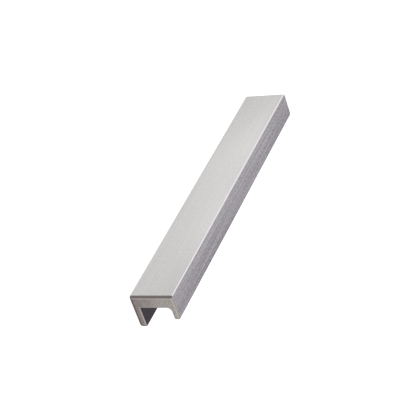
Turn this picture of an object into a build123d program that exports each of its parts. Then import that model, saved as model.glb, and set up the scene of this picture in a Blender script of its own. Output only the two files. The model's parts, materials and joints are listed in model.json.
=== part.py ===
# Bar handle for a cabinet door or drawer: one length of extruded channel. A tall back leg lies
# against the door, a thick web stands out from it, and a shorter lip at the front is what the
# fingers pull on. Two blind holes, tapped from the mounting face, take the screws that come
# through the door.
#
# Frame: millimetres. The handle lies on its mounting face, with +Z pointing away from the door,
# +X along the bar and +Y out of the web's broad outer face. The origin is the middle of the
# mounting face.
import os

from build123d import *

# The bar and its three walls
length = 150.0
projection = 20.0  # from the mounting face to the front of the lip
back_height = 16.2  # from the web's outer face to the foot of the back leg
lip_height = 12.3  # from the web's outer face to the foot of the lip
web_thickness = 6.0
back_wall = 3.2
lip_wall = 2.6

# Edges
end_bevel = 0.9  # across the web at each sawn end
end_break = 0.42  # all round each sawn end
edge_round = 0.5  # long edges of the web
foot_round = 1.05  # outer edges of both feet
foot_inner_round = 0.5  # inner edges of both feet
grip_fillet = 2.0  # inside corner between the web and the lip, where the fingertips lie
back_fillet = 0.4  # inside corner between the web and the back leg

# Fixing holes for M4 screws
hole_spacing = 128.0
thread_core = 3.3  # drilled diameter, before tapping
thread_depth = 12.0
mouth_diameter = 4.0  # countersink that breaks the thread's first turn
countersink_angle = 90.0
drill_tip_height = 1.0

# Places in the section, measured from the middle of the mounting face
web_outer_y = back_height / 2
web_inner_y = web_outer_y - web_thickness
back_foot_y = web_outer_y - back_height
lip_foot_y = web_outer_y - lip_height
lip_inner_z = projection - lip_wall
hole_y = web_outer_y - web_thickness / 2

with BuildPart() as handle_bar:
    # The channel's section, drawn on one end: first coordinate along Y, second along Z
    with BuildSketch(Plane.YZ.offset(-length / 2)) as section:
        with BuildLine():
            Polyline(
                (back_foot_y, 0),
                (web_outer_y, 0),
                (web_outer_y, projection),
                (lip_foot_y, projection),
                (lip_foot_y, lip_inner_z),
                (web_inner_y, lip_inner_z),
                (web_inner_y, back_wall),
                (back_foot_y, back_wall),
                close=True,
            )
        make_face()
        fillet(section.vertices().sort_by_distance((web_inner_y, lip_inner_z))[0], grip_fillet)
        fillet(section.vertices().sort_by_distance((web_inner_y, back_wall))[0], back_fillet)
        fillet(section.vertices().sort_by_distance((back_foot_y, 0))[0], foot_round)
        fillet(section.vertices().sort_by_distance((lip_foot_y, projection))[0], foot_round)
        fillet(section.vertices().sort_by_distance((back_foot_y, back_wall))[0], foot_inner_round)
        fillet(section.vertices().sort_by_distance((lip_foot_y, lip_inner_z))[0], foot_inner_round)
        fillet(section.vertices().group_by(Axis.X)[-1], edge_round)
    extrude(amount=length)

    # The edge of each sawn end is broken all round
    by_place = handle_bar.edges().group_by(Axis.X)
    chamfer(by_place[0] + by_place[-1], end_break)

    # A wider bevel crosses the web: half of a square that stands on its corner is cut from each end
    with BuildSketch(Plane.XY):
        with Locations((-length / 2, web_outer_y), (length / 2, web_outer_y)):
            RegularPolygon(end_bevel, 4)
    extrude(amount=projection, mode=Mode.SUBTRACT)

    # Blind tapped holes in the edge of the web, each ending in the drill's cone
    with Locations(Plane((0, hole_y, 0), x_dir=(1, 0, 0), z_dir=(0, 0, -1))):
        with GridLocations(hole_spacing, 0, 2, 1):
            CounterSinkHole(thread_core / 2, mouth_diameter / 2, thread_depth, countersink_angle)
    with Locations((0, hole_y, thread_depth)):
        with GridLocations(hole_spacing, 0, 2, 1):
            Cone(
                thread_core / 2,
                0,
                drill_tip_height,
                align=(Align.CENTER, Align.CENTER, Align.MIN),
                mode=Mode.SUBTRACT,
            )

handle_bar.part.label = "handle_bar"

os.makedirs("parts", exist_ok=True)
export_step(handle_bar.part, "parts/handle_bar.step")
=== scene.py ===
"""The bar handle's looks: a brushed and anodised channel, lying on its mounting face on a pale floor.

One surface, worked out with numpy, stands for the CAD node. Its overall sizes and its screw holes are read
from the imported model, and its walls and edges repeat the part's own sizes. Sizes are in millimetres until
they go into a mesh or a shader.
"""
import json
import logging
import math
from abc import ABC, abstractmethod
from dataclasses import dataclass, field
from enum import Enum, IntEnum

import bpy
import numpy as np
from mathutils import Matrix, Vector


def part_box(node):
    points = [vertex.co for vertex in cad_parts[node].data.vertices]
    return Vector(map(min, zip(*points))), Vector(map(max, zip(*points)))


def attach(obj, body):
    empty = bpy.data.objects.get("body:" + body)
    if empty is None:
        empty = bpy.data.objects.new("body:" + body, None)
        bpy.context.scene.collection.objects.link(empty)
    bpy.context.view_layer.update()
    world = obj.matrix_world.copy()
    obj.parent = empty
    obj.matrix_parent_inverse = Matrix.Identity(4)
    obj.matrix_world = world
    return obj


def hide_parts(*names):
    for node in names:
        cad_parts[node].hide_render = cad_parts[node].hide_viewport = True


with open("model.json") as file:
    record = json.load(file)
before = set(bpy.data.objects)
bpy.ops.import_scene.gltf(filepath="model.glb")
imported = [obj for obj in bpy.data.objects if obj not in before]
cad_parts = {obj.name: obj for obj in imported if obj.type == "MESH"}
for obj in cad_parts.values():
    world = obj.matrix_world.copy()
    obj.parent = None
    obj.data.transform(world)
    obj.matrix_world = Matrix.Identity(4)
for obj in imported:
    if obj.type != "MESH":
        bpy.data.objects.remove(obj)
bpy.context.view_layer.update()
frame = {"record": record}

log = logging.getLogger("bar_handle")

NODE = "handle_bar"
BODY = "root"
MM = 0.001
PICTURE_SIDE_PX = 416

# A noise texture lies about its mean, nearly all of it between the low and the high value
NOISE_MEAN = 0.5
NOISE_LOW = 0.3
NOISE_HIGH = 0.7


class Axis(Enum):
    """The axes of the handle's own coordinates."""

    X = "X"
    Y = "Y"
    Z = "Z"


class EdgeLight(Enum):
    """The painted light on the edges, a highlight and a shade, each with the name of the mesh attribute
    that holds it, from 0 to 1.
    """

    RUBBED = "rubbed"
    GRIMY = "grimy"


class Side(IntEnum):
    """The channel's sides, in order round its outline. A corner goes by the side after it."""

    MOUNT = 0
    WEB = 1
    LIP = 2
    LIP_FOOT = 3
    LIP_INNER = 4
    WEB_INNER = 5
    BACK_INNER = 6
    BACK_FOOT = 7


class Zone(IntEnum):
    """The finishes on the handle, in the order of its material slots."""

    FINE = 0
    COARSE = 1
    CUT_END = 2
    BEVEL = 3
    INSIDE = 4
    THREAD = 5


INNER_SIDES = (Side.LIP_INNER, Side.WEB_INNER, Side.BACK_INNER)
FOOT_CORNERS = (Side.MOUNT, Side.LIP_FOOT, Side.LIP_INNER, Side.BACK_FOOT)
SIDE_ZONES = {
    Side.MOUNT: Zone.COARSE,
    Side.WEB: Zone.FINE,
    Side.LIP: Zone.COARSE,
    Side.LIP_FOOT: Zone.FINE,
    Side.LIP_INNER: Zone.INSIDE,
    Side.WEB_INNER: Zone.INSIDE,
    Side.BACK_INNER: Zone.INSIDE,
    Side.BACK_FOOT: Zone.FINE,
}

# How much painted highlight and painted shade the edges of a sawn end take along each side
END_HIGHLIGHT = {Side.WEB: 1.0, Side.LIP: 1.0, Side.BACK_INNER: 0.65}
END_SHADE = {Side.MOUNT: 1.0, Side.LIP_FOOT: 0.3, Side.BACK_FOOT: 0.8}

# How much painted highlight and painted shade the long edges take at each corner
LONG_EDGE_HIGHLIGHT = {Side.WEB: 1.0, Side.LIP: 1.0}
LONG_EDGE_SHADE = {Side.MOUNT: 0.4, Side.LIP_FOOT: 0.4}


def by_side(values: dict[Side, float]) -> np.ndarray:
    """Lists a value for each of the channel's sides, or 0 where none is given."""
    return np.array([values.get(side, 0.0) for side in Side])


def linear(code: str) -> tuple[float, float, float, float]:
    """Turns an sRGB hex colour into the linear values that shaders take.

    By the sRGB standard, a dim value is divided by 12.92, and a brighter one is a power of 2.4.

    Args:
        code: the colour as "#RRGGBB".

    Returns:
        Red, green, blue and a full alpha, linear.
    """
    srgb = np.array([int(code[i:i + 2], 16) for i in (1, 3, 5)]) / 255
    dim = srgb / 12.92
    bright = ((srgb + 0.055) / 1.055) ** 2.4
    return (*np.where(srgb <= 0.04045, dim, bright).tolist(), 1.0)


def add_node(
    tree: bpy.types.NodeTree, kind: str, inputs: dict[str | int, object] | None = None, **settings: object
) -> bpy.types.Node:
    """Adds one node to a tree, with its settings and links.

    Args:
        tree: the tree that takes the node.
        kind: the node's type.
        inputs: for each input socket, by name or number, a value or the output socket that feeds it.
        settings: the node's own properties.

    Returns:
        The new node.
    """
    node = tree.nodes.new(kind)
    for name, value in settings.items():
        setattr(node, name, value)
    for name, value in (inputs or {}).items():
        if isinstance(value, bpy.types.NodeSocket):
            tree.links.new(value, node.inputs[name])
        else:
            node.inputs[name].default_value = value
    return node


def new_material(name: str) -> tuple[bpy.types.Material, bpy.types.NodeTree]:
    """Makes a material with an empty tree.

    Args:
        name: the material's name.

    Returns:
        The material and its tree.
    """
    material = bpy.data.materials.new(name)
    material.use_nodes = True
    material.node_tree.nodes.clear()
    return material, material.node_tree


def ramp(
    tree: bpy.types.NodeTree, axis: Axis, start_mm: float, end_mm: float, mirrored: bool = False
) -> bpy.types.NodeSocket:
    """Adds a ramp along one axis of the Object coordinates.

    Args:
        tree: the tree that takes the nodes.
        axis: the ramp's axis.
        start_mm: where the ramp is 0.
        end_mm: where the ramp is 1.
        mirrored: whether the ramp is the same on both sides of 0.

    Returns:
        The ramp, from 0 to 1.
    """
    place = add_node(tree, "ShaderNodeTexCoord").outputs["Object"]
    along = add_node(tree, "ShaderNodeSeparateXYZ", {"Vector": place}).outputs[axis.value]
    if mirrored:
        along = add_node(tree, "ShaderNodeMath", {0: along}, operation="ABSOLUTE").outputs["Value"]
    reach = {"Value": along, "From Min": start_mm * MM, "From Max": end_mm * MM}
    return add_node(tree, "ShaderNodeMapRange", reach).outputs["Result"]


@dataclass(frozen=True)
class Blots:
    """A pattern of blots that have a real size along each axis, under a number of finer layers."""

    size_mm: tuple[float, float, float]
    layers: float = 2.0
    layer_strength: float = 0.6

    def add(self, tree: bpy.types.NodeTree) -> bpy.types.NodeSocket:
        """Adds a noise on Object coordinates that are divided by the blots' size.

        Args:
            tree: the tree that takes the nodes.

        Returns:
            The noise.
        """
        place = add_node(tree, "ShaderNodeTexCoord").outputs["Object"]
        scale = tuple(1 / (size * MM) for size in self.size_mm)
        scaled = add_node(tree, "ShaderNodeMapping", {"Vector": place, "Scale": scale}).outputs["Vector"]
        noise = add_node(
            tree,
            "ShaderNodeTexNoise",
            {"Vector": scaled, "Scale": 1.0, "Detail": self.layers, "Roughness": self.layer_strength},
        )
        return noise.outputs["Fac"]


@dataclass(frozen=True)
class SawArcs:
    """The pattern of arcs that a round saw blade leaves as it turns about a line along the bar.

    The centre is where that line lies across the bar, as Y and Z.
    """

    centre_mm: tuple[float, float]
    spacing_mm: float
    layers: float = 1.0

    def add(self, tree: bpy.types.NodeTree) -> bpy.types.NodeSocket:
        """Adds a noise that changes only with the distance from the blade's centre, across the bar.

        Args:
            tree: the tree that takes the nodes.

        Returns:
            The noise.
        """
        place = add_node(tree, "ShaderNodeTexCoord").outputs["Object"]
        across = add_node(
            tree, "ShaderNodeVectorMath", {0: place, 1: (0.0, 1.0, 1.0)}, operation="MULTIPLY"
        ).outputs["Vector"]
        centre = (0.0, *(value * MM for value in self.centre_mm))
        away = add_node(tree, "ShaderNodeVectorMath", {0: across, 1: centre}, operation="DISTANCE")
        noise = add_node(
            tree,
            "ShaderNodeTexNoise",
            {"W": away.outputs["Value"], "Scale": 1 / (self.spacing_mm * MM), "Detail": self.layers},
            noise_dimensions="1D",
        )
        return noise.outputs["Fac"]


@dataclass(frozen=True, kw_only=True)
class Finish(ABC):
    """A metal surface in two tones, with fine marks in its roughness and bump.

    The tone is fully dark or light where the patterns lie further from their mean than the spread. The
    edges take colours of their own: a painted highlight and a painted shade.
    """

    name: str
    dark: str
    light: str
    spread: float
    mark_depth_mm: float
    smooth: float
    rough: float
    # Colours of the edges' painted highlight and painted shade
    edges: dict[EdgeLight, str] = field(default_factory=dict)

    @abstractmethod
    def patterns(self, tree: bpy.types.NodeTree) -> tuple[bpy.types.NodeSocket, bpy.types.NodeSocket]:
        """Adds the finish's patterns.

        Args:
            tree: the tree that takes the nodes.

        Returns:
            The tone, from 0 for the dark colour to 1 for the light one, and the fine marks.
        """

    def roughness(self, tree: bpy.types.NodeTree, marks: bpy.types.NodeSocket) -> bpy.types.NodeSocket:
        """Adds the roughness, which goes from smooth to rough with the marks.

        Args:
            tree: the tree that takes the nodes.
            marks: the fine marks.

        Returns:
            The roughness.
        """
        source = {"Value": marks, "From Min": NOISE_LOW, "From Max": NOISE_HIGH}
        target = {"To Min": self.smooth, "To Max": self.rough}
        return add_node(tree, "ShaderNodeMapRange", source | target).outputs["Result"]

    def smearing(self, tree: bpy.types.NodeTree) -> dict[str | int, object]:
        """Gives the shader's inputs that smear reflections, of which a plain finish has none."""
        return {}

    def colour(self, tree: bpy.types.NodeTree, tone: bpy.types.NodeSocket) -> bpy.types.NodeSocket:
        """Mixes the two tones, and over them the colours of the edges' painted highlight and painted shade.

        Args:
            tree: the tree that takes the nodes.
            tone: the share of the light colour.

        Returns:
            The colour.
        """
        layers = {"Factor": tone, "A": linear(self.dark), "B": linear(self.light)}
        colour = add_node(tree, "ShaderNodeMix", layers, data_type="RGBA").outputs["Result"]
        # Paints the edges' highlight and shade over the tones
        for edge_light, edge in self.edges.items():
            edge_paint = add_node(tree, "ShaderNodeAttribute", attribute_name=edge_light.value).outputs["Fac"]
            layers = {"Factor": edge_paint, "A": colour, "B": linear(edge)}
            colour = add_node(tree, "ShaderNodeMix", layers, data_type="RGBA").outputs["Result"]
        return colour

    def material(self) -> bpy.types.Material:
        """Builds the material from the finish's patterns.

        Returns:
            The material.
        """
        material, tree = new_material(self.name)
        tone, marks = self.patterns(tree)
        relief = {"Height": marks, "Strength": 1.0, "Distance": self.mark_depth_mm * MM}
        bump = add_node(tree, "ShaderNodeBump", relief)
        shader = add_node(
            tree,
            "ShaderNodeBsdfPrincipled",
            {
                "Base Color": self.colour(tree, tone),
                "Metallic": 1.0,
                "Roughness": self.roughness(tree, marks),
                "Normal": bump.outputs["Normal"],
                **self.smearing(tree),
            },
        )
        add_node(tree, "ShaderNodeOutputMaterial", {"Surface": shader.outputs["BSDF"]})
        return material


@dataclass(frozen=True, kw_only=True)
class BrushedFinish(Finish):
    """Anodised aluminium in a stainless tone, brushed along the bar by an abrasive belt.

    The belt leaves long streaks and short fine scratches, so the metal is lined along the bar and smears
    its reflections across the lines. Faint clouds lie over them. Painted shade fades the tone across the
    bar and makes it darker towards one end or both. Edges with a painted highlight are also smoother than
    the rest.
    """

    streaks: Blots
    scratches: Blots
    scratch_share: float
    clouds: Blots
    cloud_share: float
    shade_axis: Axis
    shade_mm: tuple[float, float]
    shade_share: float
    end_shade_mm: tuple[float, float]
    end_shade_share: float
    shade_both_ends: bool
    smooth: float = 0.28
    rough: float = 0.42
    highlight_smooth: float = 0.24
    smear: float = 0.55

    def patterns(self, tree: bpy.types.NodeTree) -> tuple[bpy.types.NodeSocket, bpy.types.NodeSocket]:
        """Adds streaks and scratches as marks, and mixes clouds and the two fades of painted shade into
        their tone.

        Args:
            tree: the tree that takes the nodes.

        Returns:
            The tone and the marks.
        """
        streaks, scratches = self.streaks.add(tree), self.scratches.add(tree)
        layers = {"Factor": self.scratch_share, "A": streaks, "B": scratches}
        marks = add_node(tree, "ShaderNodeMix", layers, data_type="FLOAT").outputs["Result"]
        layers = {"Factor": self.cloud_share, "A": marks, "B": self.clouds.add(tree)}
        clouded = add_node(tree, "ShaderNodeMix", layers, data_type="FLOAT").outputs["Result"]
        limits = {"From Min": NOISE_MEAN - self.spread, "From Max": NOISE_MEAN + self.spread}
        tone = add_node(tree, "ShaderNodeMapRange", {"Value": clouded, **limits}).outputs["Result"]
        # Painted shade: the tone darkens across the bar and towards the ends
        fades = (
            (self.shade_share, ramp(tree, self.shade_axis, *self.shade_mm)),
            (self.end_shade_share, ramp(tree, Axis.X, *self.end_shade_mm, self.shade_both_ends)),
        )
        for share, fade in fades:
            layers = {"Factor": share, "A": tone, "B": fade}
            tone = add_node(tree, "ShaderNodeMix", layers, data_type="FLOAT").outputs["Result"]
        return tone, marks

    def roughness(self, tree: bpy.types.NodeTree, marks: bpy.types.NodeSocket) -> bpy.types.NodeSocket:
        """Adds the brushed roughness, which goes down to a smoother value where an edge takes the painted
        highlight.

        Args:
            tree: the tree that takes the nodes.
            marks: the fine marks.

        Returns:
            The roughness.
        """
        rubbed = add_node(tree, "ShaderNodeAttribute", attribute_name=EdgeLight.RUBBED.value).outputs["Fac"]
        layers = {"Factor": rubbed, "A": super().roughness(tree, marks), "B": self.highlight_smooth}
        return add_node(tree, "ShaderNodeMix", layers, data_type="FLOAT").outputs["Result"]

    def smearing(self, tree: bpy.types.NodeTree) -> dict[str | int, object]:
        """Gives the shader's inputs that smear reflections round the bar, across the scratches."""
        around = add_node(tree, "ShaderNodeTangent", direction_type="RADIAL", axis=Axis.X.value)
        return {"Anisotropic": self.smear, "Tangent": around.outputs["Tangent"]}


@dataclass(frozen=True, kw_only=True)
class ToolFinish(Finish):
    """A metal surface as a tool or the die left it: blots in its tone, and the tool's marks over them.

    Its tone can also fade along Z, as painted shade.
    """

    blots: Blots
    marks: Blots | SawArcs
    spread: float = 0.3
    shade_mm: tuple[float, float] | None = None
    shade_share: float = 0.65

    def patterns(self, tree: bpy.types.NodeTree) -> tuple[bpy.types.NodeSocket, bpy.types.NodeSocket]:
        """Adds the marks, and sums blots and marks into the tone, which the painted shade's fade is mixed
        into.

        Args:
            tree: the tree that takes the nodes.

        Returns:
            The tone and the marks.
        """
        marks = self.marks.add(tree)
        parts = {0: self.blots.add(tree), 1: marks}
        both = add_node(tree, "ShaderNodeMath", parts, operation="ADD").outputs["Value"]
        mean = len(parts) * NOISE_MEAN
        limits = {"From Min": mean - self.spread, "From Max": mean + self.spread}
        tone = add_node(tree, "ShaderNodeMapRange", {"Value": both, **limits}).outputs["Result"]
        # Painted shade: the tone darkens towards the low end of the ramp along Z
        if self.shade_mm:
            layers = {"Factor": self.shade_share, "A": tone, "B": ramp(tree, Axis.Z, *self.shade_mm)}
            tone = add_node(tree, "ShaderNodeMix", layers, data_type="FLOAT").outputs["Result"]
        return tone, marks


# Edge colours: a painted highlight, and a painted shade
BRUSHED_EDGE_LIGHT = {EdgeLight.RUBBED: "#EAE9EA", EdgeLight.GRIMY: "#77757A"}
END_EDGE_LIGHT = {EdgeLight.RUBBED: "#EEEAE3", EdgeLight.GRIMY: "#55504D"}

# A belt's scratches are about 0.05 mm wide. Both brushed finishes draw them about ten times as wide,
# because they wouldn't show otherwise. The web and the feet had a fine belt, so their lines are faint
FINE_BRUSHED = BrushedFinish(
    name="anodised_aluminium_fine_brushed",
    dark="#BABAB7",
    light="#D7D8D5",
    spread=0.076,
    mark_depth_mm=0.002,
    edges=BRUSHED_EDGE_LIGHT,
    streaks=Blots((40.0, 0.5, 0.5), layers=1.0),
    scratches=Blots((1.5, 0.45, 0.45), layers=3.0),
    scratch_share=0.72,
    clouds=Blots((90.0, 20.0, 20.0), layers=1.0),
    cloud_share=0.25,
    # Painted shade: darker towards the mounting face and towards both ends
    shade_axis=Axis.Z,
    shade_mm=(0.0, 12.0),
    shade_share=0.3,
    end_shade_mm=(75.0, 30.0),
    end_shade_share=0.29,
    shade_both_ends=True,
)

# The front of the lip and the mounting face had a coarser belt, so their lines are plain to see
COARSE_BRUSHED = BrushedFinish(
    name="anodised_aluminium_coarse_brushed",
    dark="#888489",
    light="#EAE9EC",
    spread=0.058,
    mark_depth_mm=0.004,
    edges=BRUSHED_EDGE_LIGHT,
    streaks=Blots((60.0, 0.5, 0.5), layers=1.0),
    scratches=Blots((1.6, 0.5, 0.5), layers=3.0),
    scratch_share=0.58,
    clouds=Blots((160.0, 6.0, 6.0), layers=1.0),
    cloud_share=0.08,
    # Painted shade: darker towards the feet and towards the +X end
    shade_axis=Axis.Y,
    shade_mm=(-7.5, 10.5),
    shade_share=0.36,
    end_shade_mm=(75.0, 30.0),
    end_shade_share=0.15,
    shade_both_ends=False,
)

# Sawn across and then anodised: fine arcs scatter the light, so the ends look dull and warm. Painted shade
# makes them darker and browner towards the mounting face. A saw's arcs are about 0.2 mm apart and are drawn
# wider, because they wouldn't show. The edges take a painted highlight along the web, the lip and the back
# leg's inside, and a painted shade along the mounting face and the feet
SAWN_END = ToolFinish(
    name="anodised_aluminium_sawn",
    dark="#968A85",
    light="#D4D1C8",
    spread=0.2,
    mark_depth_mm=0.004,
    smooth=0.42,
    rough=0.56,
    edges=END_EDGE_LIGHT,
    blots=Blots((2.0, 2.0, 2.0)),
    marks=SawArcs(centre_mm=(70.0, -80.0), spacing_mm=0.7),
    shade_mm=(-2.0, 15.0),
)

# Milled after sawing: smoother than the end, so it mirrors the dim side of the room as a dark band, with
# the cutter's marks along it and a painted highlight line where it meets the end
MILLED_BEVEL = ToolFinish(
    name="anodised_aluminium_milled",
    dark="#B1AB9F",
    light="#CAC6BA",
    spread=0.45,
    mark_depth_mm=0.003,
    smooth=0.22,
    rough=0.34,
    edges=END_EDGE_LIGHT,
    blots=Blots((2.0, 2.0, 8.0)),
    marks=Blots((0.3, 0.3, 8.0)),
)

# Left as it came out of the die, where the belt doesn't reach, with faint lines along the bar from the
# die. Its dark tone is painted shade inside the channel
SHADED_INSIDE = ToolFinish(
    name="anodised_aluminium_inside_shaded",
    dark="#585259",
    light="#67616A",
    mark_depth_mm=0.003,
    smooth=0.45,
    rough=0.6,
    blots=Blots((30.0, 3.0, 3.0)),
    marks=Blots((60.0, 0.3, 0.3)),
)

# Cut by the tap after anodising: bare bright metal with fine tool marks round the hole
TAPPED_BORE = ToolFinish(
    name="aluminium_tapped",
    dark="#CFD0D2",
    light="#DFE0E1",
    mark_depth_mm=0.002,
    smooth=0.2,
    rough=0.32,
    blots=Blots((2.0, 2.0, 2.0)),
    marks=Blots((0.6, 0.6, 0.1)),
)

ZONE_FINISHES = {
    Zone.FINE: FINE_BRUSHED,
    Zone.COARSE: COARSE_BRUSHED,
    Zone.CUT_END: SAWN_END,
    Zone.BEVEL: MILLED_BEVEL,
    Zone.INSIDE: SHADED_INSIDE,
    Zone.THREAD: TAPPED_BORE,
}


@dataclass
class Skin:
    """The handle's surface while it is put together: its points, in millimetres, and its faces.

    Each point has its painted edge highlight and shade, each face its zone, and each corner of a face its
    normal.
    """

    points: list[np.ndarray] = field(default_factory=list)
    edge_light: dict[EdgeLight, list[np.ndarray]] = field(default_factory=lambda: {kind: [] for kind in EdgeLight})
    faces: list[list[int]] = field(default_factory=list)
    zones: list[np.ndarray] = field(default_factory=list)
    normals: list[np.ndarray] = field(default_factory=list)

    def add_points(self, points: np.ndarray, edge_light: dict[EdgeLight, np.ndarray] | None = None) -> np.ndarray:
        """Adds a grid of points.

        Args:
            points: the points, as rows by columns by 3.
            edge_light: the points' wear of each kind, as rows by columns, where they have any.

        Returns:
            The points' numbers in the surface, as rows by columns.
        """
        grid = points.shape[:2]
        start = sum(map(len, self.points))
        self.points.append(points.reshape(-1, 3))
        for kind, parts in self.edge_light.items():
            parts.append(np.broadcast_to((edge_light or {}).get(kind, 0.0), grid).ravel())
        return start + np.arange(math.prod(grid)).reshape(grid)

    def add_faces(self, faces: np.ndarray, zones: np.ndarray | Zone, normals: np.ndarray) -> None:
        """Adds faces that have the same number of corners.

        Args:
            faces: the numbers of their points, as faces by corners.
            zones: the zone of each face, or one for all.
            normals: the normal of each corner, as faces by corners by 3, or one for all.
        """
        self.faces += faces.tolist()
        self.zones.append(np.broadcast_to(zones, len(faces)))
        self.normals.append(np.broadcast_to(normals, (*faces.shape, 3)).reshape(-1, 3))

    def mesh(self, name: str) -> bpy.types.Mesh:
        """Makes the mesh, in metres. A corner whose normal is zero keeps the one that Blender works out.

        Args:
            name: the mesh's name.

        Returns:
            The mesh.
        """
        mesh = bpy.data.meshes.new(name)
        mesh.from_pydata(np.concatenate(self.points) * MM, [], self.faces)
        mesh.polygons.foreach_set("material_index", np.concatenate(self.zones).astype(np.int32))
        mesh.polygons.foreach_set("use_smooth", np.ones(len(self.faces), bool))
        for kind, parts in self.edge_light.items():
            attribute = mesh.attributes.new(kind.value, "FLOAT", "POINT")
            attribute.data.foreach_set("value", np.concatenate(parts).astype(np.float32))
        mesh.normals_split_custom_set(np.concatenate(self.normals))
        return mesh


@dataclass(frozen=True)
class Outline:
    """The channel's outline at every station.

    The points are stations by points by 2. For each point there are the weights of the eight sides in its
    normal, and how much painted highlight and painted shade it takes. For each step to the next point there
    is the side that it lies on.
    """

    points: np.ndarray
    blend: np.ndarray
    rubbed: np.ndarray
    grimy: np.ndarray
    step_side: np.ndarray


@dataclass(frozen=True)
class ChannelSection:
    """The channel's outline across the bar, in millimetres.

    Y runs from the feet of the two legs to the web's outer face, with 0 half way up the back leg. Z runs
    from the mounting face out to the front of the lip.
    """

    back_height: float
    projection: float
    lip_height: float = 12.3
    web: float = 6.0
    back_wall: float = 3.2
    lip_wall: float = 2.6
    edge_round: float = 0.5
    foot_round: float = 1.05
    foot_inner_round: float = 0.5
    grip_fillet: float = 2.0
    back_fillet: float = 0.4
    least_round: float = 0.05
    arc_points: int = 9

    @property
    def corners(self) -> np.ndarray:
        """The corners before each side, in the order of the sides, as Y and Z."""
        top = self.back_height / 2
        lip_foot = top - self.lip_height
        web_inner = top - self.web
        lip_inner = self.projection - self.lip_wall
        y = [-top, top, top, lip_foot, lip_foot, web_inner, web_inner, -top]
        z = [0, 0, self.projection, self.projection, lip_inner, lip_inner, self.back_wall, self.back_wall]
        return np.stack([y, z], axis=-1)

    @property
    def radii(self) -> np.ndarray:
        """The radius of each corner."""
        return by_side({
            Side.MOUNT: self.foot_round,
            Side.WEB: self.edge_round,
            Side.LIP: self.edge_round,
            Side.LIP_FOOT: self.foot_round,
            Side.LIP_INNER: self.foot_inner_round,
            Side.WEB_INNER: self.grip_fillet,
            Side.BACK_INNER: self.back_fillet,
            Side.BACK_FOOT: self.foot_inner_round,
        })

    @property
    def directions(self) -> np.ndarray:
        """The unit vector along each side."""
        step = np.roll(self.corners, -1, axis=0) - self.corners
        return step / np.linalg.norm(step, axis=1, keepdims=True)

    @property
    def normals(self) -> np.ndarray:
        """The outward normal of each side, a quarter turn from its direction."""
        return self.directions[:, ::-1] * (1, -1)

    def outline(self, inset: np.ndarray, seam_y: float) -> Outline:
        """Draws the outline at every station at once.

        Each corner moves against the normals of its two sides by their insets. At a corner, a and b are the
        unit vectors to the corners before and after it. The arc of radius r is the corner plus r times
        (a + b - sin(s) a - cos(s) b), with s from 0 to a quarter turn, and its normal is cos(s) times the
        normal of the side before plus sin(s) times that of the side after. The radii of the feet shrink by
        the insets, so that the outline doesn't cross itself inside an end face. A long edge's painted
        highlight and painted shade go by sin(2 s), which is most in the middle of the arc. One more point,
        the seam, lies on the mounting face. The first half of an arc's steps belongs to the side before it.

        Args:
            inset: how far each side lies inside its true place, as stations by sides.
            seam_y: where the seam lies.

        Returns:
            The outline.
        """
        after = self.directions
        before = -np.roll(after, 1, axis=0)
        moved = inset[:, :, None] * self.normals
        corners = self.corners - moved - np.roll(moved, 1, axis=1)
        sweep = np.linspace(0, math.pi / 2, self.arc_points)
        turned = np.sin(sweep)[:, None] * before[:, None] + np.cos(sweep)[:, None] * after[:, None]
        shrink = np.isin(list(Side), FOOT_CORNERS) * np.minimum(inset, np.roll(inset, 1, axis=1))
        radii = np.maximum(self.radii - shrink, self.least_round)
        reach = radii[:, :, None, None] * ((before + after)[:, None] - turned)
        points = (corners[:, :, None] + reach).reshape(len(inset), -1, 2)
        own = np.eye(len(Side))
        last = np.roll(own, -1, axis=1)
        blend = np.sin(sweep)[:, None] * own[:, None] + np.cos(sweep)[:, None] * last[:, None]
        # The long edges' painted highlight and painted shade
        rubbed = by_side(LONG_EDGE_HIGHLIGHT)[:, None] * np.sin(2 * sweep)
        grimy = by_side(LONG_EDGE_SHADE)[:, None] * np.sin(2 * sweep)
        first_half = np.arange(self.arc_points) < self.arc_points // 2
        side = np.arange(len(Side))[:, None]
        step_side = np.where(first_half, (side - 1) % len(Side), side)
        seam = np.stack([np.full(len(inset), seam_y), inset[:, Side.MOUNT]], axis=-1)
        return Outline(
            points=np.insert(points, self.arc_points, seam, axis=1),
            blend=np.insert(blend.reshape(-1, len(Side)), self.arc_points, own[Side.MOUNT], axis=0),
            rubbed=np.insert(rubbed.ravel(), self.arc_points, 0.0),
            grimy=np.insert(grimy.ravel(), self.arc_points, 0.0),
            step_side=np.insert(step_side.ravel(), self.arc_points, Side.MOUNT),
        )


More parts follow.
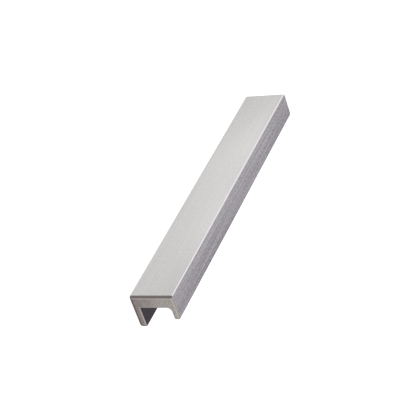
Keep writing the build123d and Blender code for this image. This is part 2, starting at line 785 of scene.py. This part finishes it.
@dataclass(frozen=True)
class EndEdges:
    """The edges of a sawn end, in millimetres.

    A bevel crosses the web, the other outer edges are broken, and the inner edges are rounded. The rims are
    how far the edges' painted highlight and painted shade reach in over the end face, which is further
    along the mounting face.
    """

    bevel: float = 0.9
    broken: float = 0.42
    eased: float = 0.12
    inner_round: float = 0.3
    rim: float = 0.45
    mount_rim: float = 0.85
    arc_points: int = 5

    @property
    def widths(self) -> np.ndarray:
        """The bevel's width on each side, or 0 on the inner sides."""
        broken = {side: self.broken for side in Side if side not in INNER_SIDES}
        return by_side(broken | {Side.WEB: self.bevel})

    @property
    def rims(self) -> np.ndarray:
        """How far the rim of the end face, over which the edges' painted light runs out, reaches in from
        each side.
        """
        return by_side({side: self.rim for side in Side} | {Side.MOUNT: self.mount_rim})

    @property
    def starts(self) -> np.ndarray:
        """How far from the end face the eased edge of each side's bevel starts."""
        return self.widths + self.eased * math.tan(math.pi / 8)

    def places(self) -> np.ndarray:
        """Lists the distances from the end face where the edges curve.

        Each arc is cut at equal angles, so its places follow the sine of the angle. They are rounded, so
        that equal places of two arcs become one.

        Returns:
            The distances, from 0 up.
        """
        first = np.sin(np.linspace(0, math.pi / 4, self.arc_points))
        second = np.sin(np.linspace(math.pi / 4, math.pi / 2, self.arc_points))
        quarter = np.sin(np.linspace(0, math.pi / 2, 2 * self.arc_points))
        outer = self.starts[[Side.WEB, Side.LIP], None] - self.eased * first
        places = [outer.ravel(), self.eased * (1 - second), self.inner_round * (1 - quarter)]
        return np.unique(np.concatenate(places).round(6))

    def profile(self, place: np.ndarray) -> tuple[np.ndarray, np.ndarray]:
        """Works out how each side runs into the end face.

        An outer side turns in by an eighth turn, runs straight at 45 degrees and turns again by an eighth,
        so its inset is the sum of the two arcs and the straight run between them. An inner side turns by a
        quarter.

        Args:
            place: distances from the end face.

        Returns:
            The sides' insets and tilts, as places by sides. A tilt is the normal's angle from straight
            across the bar towards straight along it.
        """
        slant = math.sqrt(0.5)
        away = place[:, None]
        first = np.arcsin(np.clip((self.starts - away) / self.eased, 0, slant))
        second = np.arcsin(np.clip(1 - away / self.eased, slant, 1))
        straight = self.starts - self.eased * slant - np.maximum(away, self.eased * (1 - slant))
        arcs_inset = self.eased * (1 + slant - np.cos(first) - np.cos(second))
        outer_inset = arcs_inset + np.clip(straight, 0, None)
        inner_tilt = np.arcsin(np.clip(1 - away / self.inner_round, 0, 1))
        inner_inset = self.inner_round * (1 - np.cos(inner_tilt))
        inner = self.widths == 0
        inset = np.where(inner, inner_inset, outer_inset)
        tilt = np.where(inner, inner_tilt, first + second - math.pi / 4)
        return inset, tilt


@dataclass(frozen=True)
class TappedHole:
    """A blind hole with an M4 thread, drilled in from the mounting face, in millimetres.

    The shares are of the thread's pitch. The first turn is where each ring of points starts, in turns from
    +X: towards the corner at -X and -Y of the square round the mouth.
    """

    core_radius: float
    major_radius: float = 2.0
    pitch: float = 0.7
    depth: float = 12.0
    thread_length: float = 10.0
    tip: float = 1.0
    crest_share: float = 0.25
    root_share: float = 0.125
    sides: int = 40
    rows_per_turn: int = 10
    first_turn: float = -3 / 8

    def wall(self, x: float, y: float) -> tuple[np.ndarray, np.ndarray]:
        """Works out the hole's wall as a grid of depth by angle.

        The radius is the core's plus a tooth that follows depth / pitch - angle, so that it winds up the
        hole. The tooth rises and falls in straight flanks between a flat crest and a flat root, and runs
        out over the last turn. At the mouth the wall is the 45-degree countersink wherever that is wider.

        Args:
            x: the hole's place along the bar.
            y: the hole's place across the bar.

        Returns:
            The points and their normals, which face the hole's axis, as rows by sides by 3. The first row
            is the mouth, and the last row is the foot of the drill's cone.
        """
        rows = round(self.depth / self.pitch * self.rows_per_turn) + 1
        down = np.linspace(0, self.depth, rows)[:, None]
        turn = np.arange(self.sides) / self.sides + self.first_turn
        phase = (down / self.pitch - turn) % 1
        rise = 1 - np.abs(2 * phase - 1)
        tooth = np.clip((rise - self.crest_share) / (1 - self.crest_share - self.root_share), 0, 1)
        runout = np.clip((self.thread_length - down) / self.pitch, 0, 1)
        thread = self.core_radius + (self.major_radius - self.core_radius) * tooth * runout
        radius = np.maximum(thread, self.major_radius - down)
        angle = 2 * math.pi * turn
        across = [x + radius * np.cos(angle), y + radius * np.sin(angle)]
        points = np.stack([*across, np.broadcast_to(down, radius.shape)], axis=-1)
        along = np.gradient(points, axis=0)
        around = np.roll(points, -1, axis=1) - np.roll(points, 1, axis=1)
        normals = np.cross(along, around)
        return points, normals / np.linalg.norm(normals, axis=-1, keepdims=True)

    def add_to(self, skin: Skin, x: float, y: float, square: np.ndarray) -> None:
        """Sets the hole into an open square of the mounting face.

        Four flat faces lie round the mouth, each between one side of the square and a quarter of the mouth.
        The wall goes down from there, and the drill's cone closes it.

        Args:
            skin: the surface that takes the hole.
            x: the hole's place along the bar.
            y: the hole's place across the bar.
            square: the numbers of the square's corners, in the order of the mouth's points.
        """
        points, normals = self.wall(x, y)
        ring = skin.add_points(points)
        tip = skin.add_points(np.array([[[x, y, self.depth + self.tip]]])).item()
        side = self.sides // len(square)
        starts = side * np.arange(len(square))[:, None]
        arcs = ring[0, (starts + np.arange(side + 1)) % self.sides]
        patches = np.column_stack([np.roll(square, -1), square, arcs])
        skin.add_faces(patches, Zone.COARSE, np.array([0.0, 0.0, -1.0]))
        beside = np.roll(ring, -1, axis=1)
        quads = np.stack([ring[:-1], ring[1:], beside[1:], beside[:-1]], axis=-1).reshape(-1, 4)
        skin.add_faces(quads, Zone.THREAD, normals.reshape(-1, 3)[quads - ring[0, 0]])
        cone = np.column_stack([ring[-1], np.full(self.sides, tip), beside[-1]])
        skin.add_faces(cone, Zone.THREAD, np.zeros(3))


@dataclass(frozen=True)
class HandleBar:
    """The handle: one length of channel with bevelled ends and two tapped holes in the edge of its web."""

    length: float
    section: ChannelSection
    end: EndEdges
    hole: TappedHole
    hole_x: tuple[float, ...]
    hole_y: float
    middle_stations: int = 13

    @classmethod
    def from_frame(cls) -> "HandleBar":
        """Reads the bar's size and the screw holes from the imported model.

        Returns:
            The handle.
        """
        low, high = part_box(NODE)
        length, back_height, projection = (high - low) / MM
        screws = next(m for m in frame["record"]["mounts"] if m["name"] == "screw_holes")
        half_spacing = screws["dims"]["spacing_x_mm"] / 2
        return cls(
            length=length,
            section=ChannelSection(back_height, projection),
            end=EndEdges(),
            hole=TappedHole(core_radius=screws["dims"]["hole_r_mm"]),
            hole_x=(-half_spacing, half_spacing),
            hole_y=screws["pos_m"][1] / MM,
        )

    @property
    def patch(self) -> float:
        """Half the side of the square round each hole, which reaches to the rounding of the web's edge."""
        return self.section.back_height / 2 - self.section.edge_round - self.hole_y

    def stations(self) -> tuple[np.ndarray, np.ndarray, np.ndarray]:
        """Lines up the stations of both ends and of the plain length between them, from -X to +X.

        The first and the last station lie in the end faces, inside the rims over which the edges' painted
        light runs out. The plain length has a station on both sides of each hole's square, and even ones
        between the holes, clear of the squares.

        Returns:
            Each station's place along the bar, and its sides' insets and tilts, as stations by sides.
        """
        place = np.insert(self.end.places(), 0, 0.0)
        inset, tilt = self.end.profile(place)
        inset[0] += self.end.rims
        patches = np.array([[x - self.patch, x + self.patch] for x in self.hole_x]).ravel()
        inner = min(abs(x) for x in self.hole_x) - 2 * self.patch
        plain = np.sort(np.concatenate([patches, np.linspace(-inner, inner, self.middle_stations)]))
        straight = np.zeros((len(plain), len(Side)))
        half = self.length / 2
        return (
            np.concatenate([place - half, plain, half - place[::-1]]),
            np.concatenate([inset, straight, inset[::-1]]),
            np.concatenate([-tilt, straight, tilt[::-1]]),
        )

    def edge_light(self, tilt: np.ndarray, outline: Outline) -> dict[EdgeLight, np.ndarray]:
        """Works out how much painted highlight and painted shade each point takes.

        On a sawn end, a side's share follows its tilt: the painted shade is full from 45 degrees on, and
        the painted highlight starts there and is full at the end face. Both run out over the end face's
        rim. A point takes the shares of its sides by the squares of their weights. The long edges have the
        outline's shares, times the cosine of the web's tilt. The larger of the two counts.

        Args:
            tilt: the sides' tilts, as stations by sides.
            outline: the outline at every station.

        Returns:
            The painted highlight and the painted shade, as stations by points.
        """
        # On a sawn end the painted highlight and painted shade follow the tilt
        edge_paint = np.abs(tilt) / (math.pi / 4)
        edge_paint[[0, -1]] = 0
        share = outline.blend.T**2
        upright = np.cos(tilt[:, [Side.WEB]])
        highlight_end = np.clip(edge_paint - 1, 0, 1) * by_side(END_HIGHLIGHT) @ share
        shade_end = np.clip(edge_paint, 0, 1) * by_side(END_SHADE) @ share
        return {
            EdgeLight.RUBBED: np.maximum(highlight_end, upright * outline.rubbed),
            EdgeLight.GRIMY: np.maximum(shade_end, upright * outline.grimy),
        }

    def zones(self, tilt: np.ndarray, outline: Outline) -> np.ndarray:
        """Chooses the finish of each cell of the channel.

        It goes by the cell's side, but is the bevel's where the cell tilts by more than half of the bevel's
        45 degrees, and the sawn end's inside the end faces.

        Args:
            tilt: the sides' tilts, as stations by sides.
            outline: the outline at every station.

        Returns:
            The zones, as steps between stations by steps round the outline.
        """
        plain = np.array([SIDE_ZONES[side] for side in Side])[outline.step_side]
        leaning = (np.abs(tilt[:-1] + tilt[1:]) / 2)[:, outline.step_side]
        zones = np.where(leaning > math.pi / 8, Zone.BEVEL, plain)
        zones[[0, -1]] = Zone.CUT_END
        return zones

    def add_channel(self, skin: Skin) -> np.ndarray:
        """Carries the outline along the bar and closes its two ends.

        The bar's side is a grid of stations by outline points, and a point's normal leans along the bar by
        the tangents of its sides' tilts. The cells of the grid that hold the screw holes are left open. The
        ring at -X is closed backwards, so that both end faces point outwards.

        Args:
            skin: the empty surface that takes the channel.

        Returns:
            The numbers of each open cell's corners, from -X and -Y towards +X, as holes by 4.
        """
        place, inset, tilt = self.stations()
        outline = self.section.outline(inset, self.hole_y - self.patch)
        grid = outline.points.shape[:2]
        along = np.broadcast_to(place[:, None, None], (*grid, 1))
        points = np.concatenate([along, outline.points], axis=-1)
        index = skin.add_points(points, self.edge_light(tilt, outline))
        lean = np.tan(tilt) @ outline.blend.T
        across = np.broadcast_to(outline.blend @ self.section.normals, (*grid, 2))
        normals = np.concatenate([lean[..., None], across], axis=-1)
        normals /= np.linalg.norm(normals, axis=-1, keepdims=True)

        right = np.roll(index, -1, axis=1)
        cells = np.stack([index[:-1], right[:-1], right[1:], index[1:]], axis=-1)
        seam = self.section.arc_points
        hole_rows = np.searchsorted(place, self.hole_x) - 1
        closed = np.ones(cells.shape[:2], bool)
        closed[hole_rows, seam] = False
        sheet = cells[closed]
        skin.add_faces(sheet, self.zones(tilt, outline)[closed], normals.reshape(-1, 3)[sheet])
        for end, step in ((0, -1), (-1, 1)):
            skin.add_faces(index[[end], ::step], Zone.CUT_END, normals[[end], ::step])
        return cells[hole_rows, seam][:, [0, 3, 2, 1]]

    def build(self) -> bpy.types.Object:
        """Builds the channel and sets the screw holes into its mounting face.

        Returns:
            The handle's object.
        """
        skin = Skin()
        squares = self.add_channel(skin)
        for x, square in zip(self.hole_x, squares):
            self.hole.add_to(skin, x, self.hole_y, square)
        bar = bpy.data.objects.new("brushed_bar", skin.mesh("brushed_bar"))
        bpy.context.scene.collection.objects.link(bar)
        return bar

    def dress(self, bar: bpy.types.Object) -> None:
        """Gives the bar its finishes, in the order of the zones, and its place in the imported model.

        Args:
            bar: the handle's object.
        """
        for zone in Zone:
            bar.data.materials.append(ZONE_FINISHES[zone].material())
        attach(bar, BODY)
        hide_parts(NODE)


@dataclass(frozen=True)
class Studio:
    """A pale floor under a soft dome of light.

    The dome is bright on the key side and dim all round, with a weaker fill opposite the key.
    """

    strength: float = 0.92
    ambient: str = "#96929A"
    key_side: tuple[float, float, float] = (0.78, 0.62, 0.05)
    key: str = "#FCFBF9"
    fill_side: tuple[float, float, float] = (-0.61, -0.76, 0.2)
    fill: str = "#C2C0BE"
    floor_half_mm: float = 3000.0
    floor_drop_mm: float = 0.02
    floor_colour: str = "#F2F2F2"
    floor_glow: float = 0.8

    def light(self) -> None:
        """Builds the dome.

        To the ambient light it adds the key and the fill, each times the cosine of the angle to its side.
        """
        world = bpy.data.worlds.new("studio_dome")
        bpy.context.scene.world = world
        world.use_nodes = True
        tree = world.node_tree
        tree.nodes.clear()
        ray = add_node(tree, "ShaderNodeTexCoord").outputs["Generated"]
        colour = linear(self.ambient)
        for side, light in ((self.key_side, self.key), (self.fill_side, self.fill)):
            cosine = add_node(tree, "ShaderNodeVectorMath", {0: ray, 1: side}, operation="DOT_PRODUCT")
            layers = {"Factor": cosine.outputs["Value"], "A": colour, "B": linear(light)}
            lit = add_node(tree, "ShaderNodeMix", layers, data_type="RGBA", blend_type="ADD")
            colour = lit.outputs["Result"]
        dome = add_node(tree, "ShaderNodeBackground", {"Color": colour, "Strength": self.strength})
        plain = add_node(tree, "ShaderNodeBackground", {"Color": linear(self.floor_colour)})
        seen = add_node(tree, "ShaderNodeLightPath").outputs["Is Camera Ray"]
        both = add_node(tree, "ShaderNodeMixShader", {0: seen, 1: dome.outputs[0], 2: plain.outputs[0]})
        add_node(tree, "ShaderNodeOutputWorld", {"Surface": both.outputs[0]})

    def lay_floor(self) -> bpy.types.Object:
        """Lays a square floor just under the mounting face, which can be seen through from below.

        Returns:
            The floor's object.
        """
        half = self.floor_half_mm * MM
        low = -self.floor_drop_mm * MM
        corners = [(-half, -half, low), (half, -half, low), (half, half, low), (-half, half, low)]
        mesh = bpy.data.meshes.new("floor")
        mesh.from_pydata(corners, [], [(0, 1, 2, 3)])
        material, tree = new_material("matt_board")
        board = add_node(tree, "ShaderNodeBsdfDiffuse", {"Color": linear(self.floor_colour)})
        glow = add_node(tree, "ShaderNodeEmission", {"Strength": self.floor_glow})
        both = add_node(tree, "ShaderNodeAddShader", {0: board.outputs[0], 1: glow.outputs[0]})
        below = add_node(tree, "ShaderNodeNewGeometry").outputs["Backfacing"]
        clear = add_node(tree, "ShaderNodeBsdfTransparent")
        seen = add_node(tree, "ShaderNodeMixShader", {0: below, 1: both.outputs[0], 2: clear.outputs[0]})
        add_node(tree, "ShaderNodeOutputMaterial", {"Surface": seen.outputs[0]})
        mesh.materials.append(material)
        floor = bpy.data.objects.new("floor", mesh)
        floor.visible_glossy = False
        floor.visible_diffuse = False
        floor.visible_shadow = False
        bpy.context.scene.collection.objects.link(floor)
        return floor


@dataclass(frozen=True)
class PhotoCamera:
    """The photograph's view of the bar, which is turned on its side.

    Angles are in degrees, and places and distances in millimetres.
    """

    aim: tuple[float, float, float] = (-2.985, -0.859, 6.174)
    azimuth: float = -126.428
    elevation: float = 26.308
    roll: float = 88.418
    distance: float = 683.99
    focal_px: float = 1535.97
    sensor: float = 36.0
    near_clip: float = 10.0
    far_clip: float = 20000.0

    def place(self) -> bpy.types.Object:
        """Sets the camera on the line from the aim point and turns it about that line by its roll.

        Returns:
            The camera's object.
        """
        turn, rise = math.radians(self.azimuth), math.radians(self.elevation)
        back = Vector((math.sin(turn) * math.cos(rise), -math.cos(turn) * math.cos(rise), math.sin(rise)))
        level = back.to_track_quat("Z", "Y").to_matrix()
        turned = level @ Matrix.Rotation(math.radians(self.roll), 3, "Z")
        spot = Vector(self.aim) * MM + back * self.distance * MM
        camera = bpy.data.objects.new("photo_camera", bpy.data.cameras.new("photo_camera"))
        camera.matrix_world = Matrix.Translation(spot) @ turned.to_4x4()
        camera.data.sensor_width = self.sensor
        camera.data.lens = self.focal_px / PICTURE_SIDE_PX * self.sensor
        camera.data.clip_start = self.near_clip * MM
        camera.data.clip_end = self.far_clip * MM
        bpy.context.scene.collection.objects.link(camera)
        bpy.context.scene.camera = camera
        return camera


def main() -> None:
    """Builds the handle, the floor, the lights and the camera."""
    logging.basicConfig(level=logging.INFO, format="%(name)s: %(message)s")
    handle = HandleBar.from_frame()
    bar = handle.build()
    handle.dress(bar)
    log.info("%s: %d faces", bar.name, len(bar.data.polygons))
    studio = Studio()
    studio.light()
    floor = studio.lay_floor()
    log.info("%s laid", floor.name)
    camera = PhotoCamera().place()
    log.info("%s: lens %.1f mm", camera.name, camera.data.lens)
    bpy.context.scene.view_settings.view_transform = "Standard"


if __name__ == "__main__":
    main()
